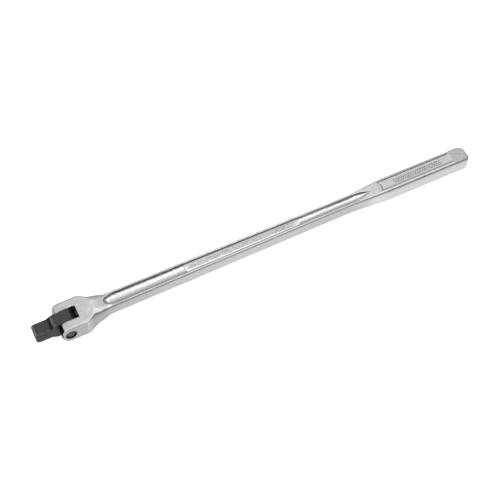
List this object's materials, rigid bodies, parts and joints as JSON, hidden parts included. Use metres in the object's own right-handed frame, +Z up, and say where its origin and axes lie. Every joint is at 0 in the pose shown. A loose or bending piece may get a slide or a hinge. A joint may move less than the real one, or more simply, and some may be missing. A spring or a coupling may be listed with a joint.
{
  "type": "breaker bar",
  "caption": "Long steel breaker bar with a swivelling square-drive head on a cross pin in a forked end, a fluted shank and a flat grip.",
  "frame": {"origin": "middle of the bar's bounding box, at its underside", "axes": "+X from the square drive to the grip, +Y across the bar along the hinge pin, +Z up"},
  "size_m": [0.4572, 0.0312, 0.0182],
  "materials": {
    "nickel_chrome": "satin plate over a forged surface, polished in the flutes",
    "black_oxide": "satin black oxide",
    "dark_pin_steel": "satin dark oxide",
    "bright_steel": "ground and polished",
    "spring_steel": "drawn wire"
  },
  "bodies": {
    "bar": {"handle": "nickel_chrome", "pivot_pin": "dark_pin_steel", "friction_spring": "spring_steel"},
    "head": {"drive_head": "black_oxide", "detent_spring": "spring_steel"},
    "plunger": {"friction_plunger": "bright_steel"},
    "ball": {"detent_ball": "bright_steel"}
  },
  "joints": [
    {"name": "head_pivot", "type": "hinge", "parent": "bar", "child": "head", "pos_m": [-0.1988, 0, 0.0091], "axis": [0, 1, 0], "range_deg": [-90, 90]},
    {"name": "plunger_travel", "type": "slide", "parent": "bar", "child": "plunger", "axis": [1, 0, 0], "range_m": [0, 0.0015], "stiffness_N_per_m": 2500, "springref_m": -0.002, "deforming": ["friction_spring"]},
    {"name": "ball_travel", "type": "slide", "parent": "head", "child": "ball", "axis": [0, -1, 0], "range_m": [0, 0.0009], "stiffness_N_per_m": 1500, "springref_m": -0.001, "deforming": ["detent_spring"]}
  ]
}
